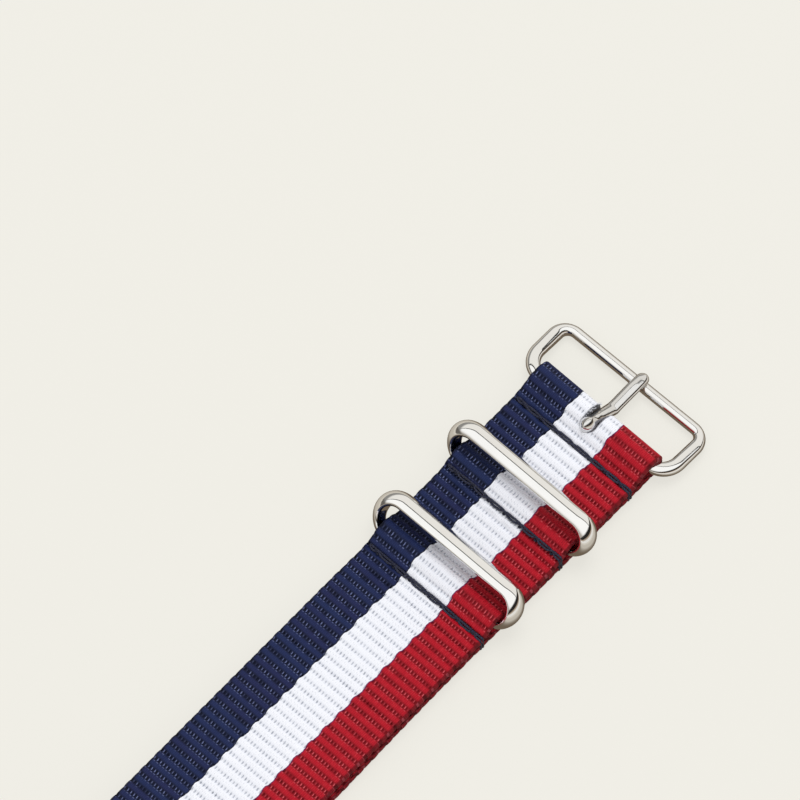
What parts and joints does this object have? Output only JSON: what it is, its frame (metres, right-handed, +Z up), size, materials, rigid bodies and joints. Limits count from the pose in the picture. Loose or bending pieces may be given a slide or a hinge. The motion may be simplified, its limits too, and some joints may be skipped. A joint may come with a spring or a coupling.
{
  "type": "watch strap",
  "caption": "Striped nylon webbing watch strap with a wire buckle and tongue, half-round wire keepers, a short under-strap and a long pierced tail.",
  "frame": {"origin": "centre of the flat strap's bounding box on the surface it lies on", "axes": "+X along the strap toward the buckle, +Y across it toward the navy edge, +Z up from the surface"},
  "size_m": [0.28, 0.026, 0.0074],
  "materials": {
    "polished_steel": "polished",
    "nylon_webbing": "ribbed navy, white and red weave",
    "nylon_thread": "twisted thread"
  },
  "bodies": {
    "head": {"sewn_head": "nylon_webbing", "stitch_row_1": "nylon_thread", "stitch_row_2": "nylon_thread", "stitch_row_3": "nylon_thread"},
    "frame": {"buckle_frame": "polished_steel"},
    "tongue": {"buckle_tongue": "polished_steel"},
    "keeper_1": {"keeper_1": "polished_steel"},
    "keeper_2": {"keeper_2": "polished_steel"},
    "pair_1": {"short_strap_1": "nylon_webbing", "long_strap_1": "nylon_webbing"},
    "pair_2": {"short_strap_2": "nylon_webbing", "long_strap_2": "nylon_webbing"},
    "pair_3": {"short_strap_end": "nylon_webbing", "long_strap_crossing": "nylon_webbing", "stitch_row_4": "nylon_thread"},
    "keeper_3": {"keeper_3": "polished_steel"},
    "tail_1": {"tail_1": "nylon_webbing"},
    "tail_2": {"tail_2": "nylon_webbing"},
    "tail_3": {"tail_3": "nylon_webbing"},
    "tail_4": {"tail_4": "nylon_webbing"},
    "tail_5": {"tail_5": "nylon_webbing"},
    "tail_6": {"tail_6": "nylon_webbing"},
    "tail_tip": {"tail_tip": "nylon_webbing"}
  },
  "joints": [
    {"name": "buckle_swing", "type": "hinge", "parent": "head", "child": "frame", "pos_m": [0.13002, 0, 0.00215], "axis": [0, -1, 0], "range_deg": [-60, 35]},
    {"name": "tongue_swing", "type": "hinge", "parent": "frame", "child": "tongue", "pos_m": [0.13002, 0, 0.00215], "axis": [0, -1, 0], "range_deg": [0, 85]},
    {"name": "keeper_1_swing", "type": "hinge", "parent": "head", "child": "keeper_1", "pos_m": [0.11502, 0, 0.00215], "axis": [0, 1, 0], "range_deg": [-93, 27]},
    {"name": "keeper_2_swing", "type": "hinge", "parent": "head", "child": "keeper_2", "pos_m": [0.10112, 0, 0.00215], "axis": [0, 1, 0], "range_deg": [-105, 15]},
    {"name": "keeper_3_swing", "type": "hinge", "parent": "pair_3", "child": "keeper_3", "pos_m": [0.02802, 0, 0.00215], "axis": [0, 1, 0], "range_deg": [-14, 14]},
    {"name": "bend_01", "type": "hinge", "parent": "head", "child": "pair_1", "pos_m": [0.09302, 0, 0.0013], "axis": [0, 1, 0], "range_deg": [-30, 30]},
    {"name": "bend_02", "type": "hinge", "parent": "pair_1", "child": "pair_2", "pos_m": [0.07102, 0, 0.0013], "axis": [0, 1, 0], "range_deg": [-30, 30]},
    {"name": "bend_03", "type": "hinge", "parent": "pair_2", "child": "pair_3", "pos_m": [0.04902, 0, 0.0013], "axis": [0, 1, 0], "range_deg": [-30, 30]},
    {"name": "bend_04", "type": "hinge", "parent": "pair_3", "child": "tail_1", "pos_m": [0.00602, 0, 0.00065], "axis": [0, 1, 0], "range_deg": [-30, 30]},
    {"name": "bend_05", "type": "hinge", "parent": "tail_1", "child": "tail_2", "pos_m": [-0.01498, 0, 0.00065], "axis": [0, 1, 0], "range_deg": [-30, 30]},
    {"name": "bend_06", "type": "hinge", "parent": "tail_2", "child": "tail_3", "pos_m": [-0.03598, 0, 0.00065], "axis": [0, 1, 0], "range_deg": [-30, 30]},
    {"name": "bend_07", "type": "hinge", "parent": "tail_3", "child": "tail_4", "pos_m": [-0.05698, 0, 0.00065], "axis": [0, 1, 0], "range_deg": [-30, 30]},
    {"name": "bend_08", "type": "hinge", "parent": "tail_4", "child": "tail_5", "pos_m": [-0.07798, 0, 0.00065], "axis": [0, 1, 0], "range_deg": [-30, 30]},
    {"name": "bend_09", "type": "hinge", "parent": "tail_5", "child": "tail_6", "pos_m": [-0.09898, 0, 0.00065], "axis": [0, 1, 0], "range_deg": [-30, 30]},
    {"name": "bend_10", "type": "hinge", "parent": "tail_6", "child": "tail_tip", "pos_m": [-0.11998, 0, 0.00065], "axis": [0, 1, 0], "range_deg": [-30, 30]}
  ]
}
